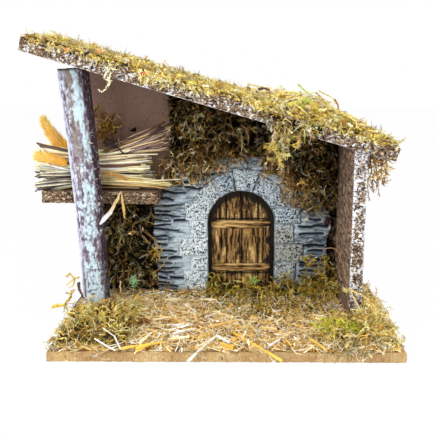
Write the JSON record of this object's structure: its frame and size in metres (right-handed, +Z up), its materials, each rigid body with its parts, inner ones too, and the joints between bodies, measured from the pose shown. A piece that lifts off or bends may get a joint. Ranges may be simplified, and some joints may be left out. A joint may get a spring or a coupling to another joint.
{
  "type": "miniature cabin",
  "caption": "Miniature lean-to cabin with a sloping moss roof on a bark post, a straw loft, and an arched stone front with a plank door.",
  "frame": {"origin": "centre of the base board's underside", "axes": "+Z up, the open front looks along -Y, +X to the viewer's right when facing the front"},
  "size_m": [0.3382, 0.1727, 0.2658],
  "materials": {
    "board_brown": "brown-painted softboard, coarse cut edges touched with white",
    "base_tan": "bare fibreboard, fine vertical saw marks on the edge",
    "bark": "bark log with lavender and white flaked paint",
    "cast_stone": "cast plaster, pale blue-grey, dark pits and joints",
    "door_brown": "cast planks painted golden brown over black",
    "straw": "dry straw stalks",
    "grass_ear": "dyed dry grass ears",
    "moss_dark": "dried moss, olive and ochre over black gaps",
    "moss_bright": "dried moss, yellow-green",
    "litter": "chopped straw and moss litter",
    "brad_steel": "plain steel"
  },
  "bodies": {
    "root": {"base_board": "base_tan", "back_panel": "board_brown", "right_wall": "board_brown", "roof_board": "board_brown", "loft_shelf": "board_brown", "left_post": "bark", "stone_front": "cast_stone", "door_leaf": "door_brown", "door_rail_lower": "door_brown", "door_rail_upper": "door_brown", "straw_sheaf": "straw", "straw_fan": "straw", "grass_ear_left_upper": "grass_ear", "grass_ear_left_lower": "grass_ear", "grass_ear_right": "grass_ear", "dry_leaf": "straw", "roof_moss": "moss_bright", "roof_moss_tuft": "moss_bright", "gable_moss": "moss_bright", "wall_moss_left": "moss_dark", "wall_moss_right": "moss_dark", "shelf_moss": "moss_dark", "loft_moss": "moss_dark", "litter_mat": "litter", "door_moss": "moss_dark", "corner_moss": "moss_dark", "post_moss": "moss_bright", "wall_foot_moss": "moss_bright", "loose_straw_1": "straw", "loose_straw_2": "straw", "loose_straw_3": "straw", "dried_stem": "straw", "roof_brad_post": "brad_steel", "roof_brad_wall_front": "brad_steel", "roof_brad_wall_back": "brad_steel", "roof_brad_panel_left": "brad_steel", "roof_brad_panel_right": "brad_steel", "base_brad_post": "brad_steel", "base_brad_wall_front": "brad_steel", "base_brad_wall_back": "brad_steel", "base_brad_panel_left": "brad_steel", "base_brad_panel_right": "brad_steel", "shelf_brad_left": "brad_steel", "shelf_brad_right": "brad_steel", "wall_brad_low": "brad_steel", "wall_brad_high": "brad_steel"}
  },
  "joints": []
}
